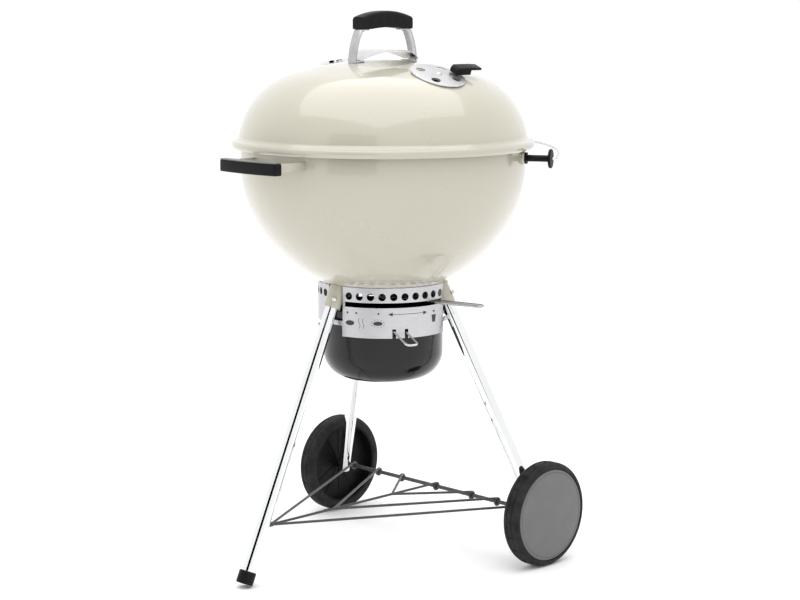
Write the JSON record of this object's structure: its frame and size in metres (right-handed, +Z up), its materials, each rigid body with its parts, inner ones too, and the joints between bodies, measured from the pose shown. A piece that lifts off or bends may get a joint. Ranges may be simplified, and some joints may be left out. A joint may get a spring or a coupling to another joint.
{
  "type": "kettle charcoal grill",
  "caption": "Round enamelled kettle barbecue on a tubular tripod with an axle and two wheels, lift-off vented lid, ash sweeper and removable ash catcher.",
  "frame": {"origin": "on the floor, under the middle of the grill's bounding box; the kettle's own axis stands 17.5 mm behind it", "axes": "+Z up, -Y towards the front handle and front leg, X along the wheel axle"},
  "size_m": [0.6278, 0.7218, 1.0727],
  "materials": {
    "enamel_ivory": "glossy porcelain enamel, ivory",
    "enamel_black": "glossy porcelain enamel, black",
    "chrome_tube": "bright chrome plating",
    "brushed_aluminium": "brushed",
    "plated_steel": "satin plated steel",
    "dark_wire": "dark grey powder coat",
    "black_plastic": "matte glass-filled nylon",
    "grey_plastic": "satin grey plastic",
    "tyre_rubber": "matte rubber",
    "dial_face": "printed dial",
    "needle_red": "satin paint",
    "clear_glass": "clear"
  },
  "bodies": {
    "stand": {"ash_collar": "brushed_aluminium", "axle": "dark_wire", "axle_nuts": "plated_steel", "bottom_rack": "dark_wire", "bowl": "enamel_ivory", "collar_pins": "plated_steel", "foot_cap": "black_plastic", "front_leg": "chrome_tube", "handle_grip": "black_plastic", "handle_screws": "plated_steel", "handle_strip_left": "enamel_ivory", "handle_strip_right": "enamel_ivory", "handle_tray": "grey_plastic", "holder_disc_left": "black_plastic", "holder_disc_right": "black_plastic", "holder_flanges": "black_plastic", "holder_hoop": "plated_steel", "holder_post_left": "enamel_ivory", "holder_post_right": "enamel_ivory", "leg_plugs": "black_plastic", "leg_socket_front": "enamel_ivory", "leg_socket_left": "enamel_ivory", "leg_socket_right": "enamel_ivory", "rear_leg_left": "chrome_tube", "rear_leg_right": "chrome_tube", "socket_screws": "plated_steel"},
    "ash_catcher": {"ash_bucket": "enamel_black"},
    "bail": {"bucket_bail": "plated_steel"},
    "wheel_right": {"wheel_tyre_right": "tyre_rubber", "wheel_rim_right": "black_plastic", "hubcap_right": "grey_plastic"},
    "wheel_left": {"wheel_tyre_left": "tyre_rubber", "wheel_rim_left": "black_plastic", "hubcap_left": "grey_plastic"},
    "roller_right": {"holder_roller_right": "black_plastic"},
    "roller_left": {"holder_roller_left": "black_plastic"},
    "sweeper": {"sweeper_hub": "brushed_aluminium", "sweeper_blade_1": "brushed_aluminium", "sweeper_blade_2": "brushed_aluminium", "sweeper_blade_3": "brushed_aluminium", "sweeper_shaft": "plated_steel", "sweeper_lever": "plated_steel"},
    "fire_grate": {"charcoal_grate": "plated_steel"},
    "cook_grate": {"cooking_grate": "plated_steel"},
    "flap_right": {"grate_flap_right": "plated_steel"},
    "flap_left": {"grate_flap_left": "plated_steel"},
    "lid": {"lid_shell": "enamel_ivory", "lid_strut_front": "plated_steel", "lid_strut_rear": "plated_steel", "lid_grip": "black_plastic", "lid_grip_screws": "plated_steel", "heat_shield": "plated_steel", "damper_rivet": "brushed_aluminium", "thermometer_bezel": "chrome_tube", "thermometer_dial": "dial_face", "thermometer_glass": "clear_glass", "thermometer_stem": "plated_steel"},
    "damper": {"lid_damper": "brushed_aluminium", "damper_tab": "black_plastic"},
    "needle": {"thermometer_needle": "needle_red"}
  },
  "joints": [
    {"name": "lid_lift", "type": "slide", "parent": "stand", "child": "lid", "axis": [0, 0, 1], "range_m": [0, 0.3]},
    {"name": "lid_damper_turn", "type": "hinge", "parent": "lid", "child": "damper", "pos_m": [0.17072, -0.00346, 0.95586], "axis": [0.3557, -0.0437, 0.9336], "range_deg": [-40, 5]},
    {"name": "thermometer_needle_turn", "type": "hinge", "parent": "lid", "child": "needle", "pos_m": [-0.15415, 0.0337, 0.95879], "axis": [-0.2527, 0.0266, 0.9672], "range_deg": [-240, 0]},
    {"name": "sweeper_turn", "type": "hinge", "parent": "stand", "child": "sweeper", "pos_m": [0, 0.0175, 0.52], "axis": [0, 0, 1], "range_deg": [-84, 0]},
    {"name": "ash_bucket_drop", "type": "slide", "parent": "stand", "child": "ash_catcher", "axis": [0, 0, -1], "range_m": [0, 0.16]},
    {"name": "bail_squeeze", "type": "slide", "parent": "ash_catcher", "child": "bail", "axis": [0.9042, -0.2764, -0.3256], "range_m": [-0.006, 0]},
    {"name": "wheel_right_spin", "type": "hinge", "parent": "stand", "child": "wheel_right", "pos_m": [0.29, 0.17028, 0.1022], "axis": [1, 0, 0], "continuous": true},
    {"name": "wheel_left_spin", "type": "hinge", "parent": "stand", "child": "wheel_left", "pos_m": [-0.29, 0.17028, 0.1022], "axis": [1, 0, 0], "continuous": true},
    {"name": "fire_grate_lift", "type": "slide", "parent": "stand", "child": "fire_grate", "axis": [0, 0, 1], "range_m": [0, 0.12]},
    {"name": "cook_grate_lift", "type": "slide", "parent": "stand", "child": "cook_grate", "axis": [0, 0, 1], "range_m": [0, 0.06]},
    {"name": "flap_right_hinge", "type": "hinge", "parent": "cook_grate", "child": "flap_right", "pos_m": [0.126, 0.0175, 0.7663], "axis": [0, -1, 0], "range_deg": [0, 30]},
    {"name": "flap_left_hinge", "type": "hinge", "parent": "cook_grate", "child": "flap_left", "pos_m": [-0.126, 0.0175, 0.7663], "axis": [0, 1, 0], "range_deg": [0, 30]},
    {"name": "holder_roller_right_spin", "type": "hinge", "parent": "stand", "child": "roller_right", "pos_m": [0.25981, 0.1675, 0.794], "axis": [0.866, 0.5, 0], "continuous": true},
    {"name": "holder_roller_left_spin", "type": "hinge", "parent": "stand", "child": "roller_left", "pos_m": [-0.25981, 0.1675, 0.794], "axis": [-0.866, 0.5, 0], "continuous": true}
  ]
}
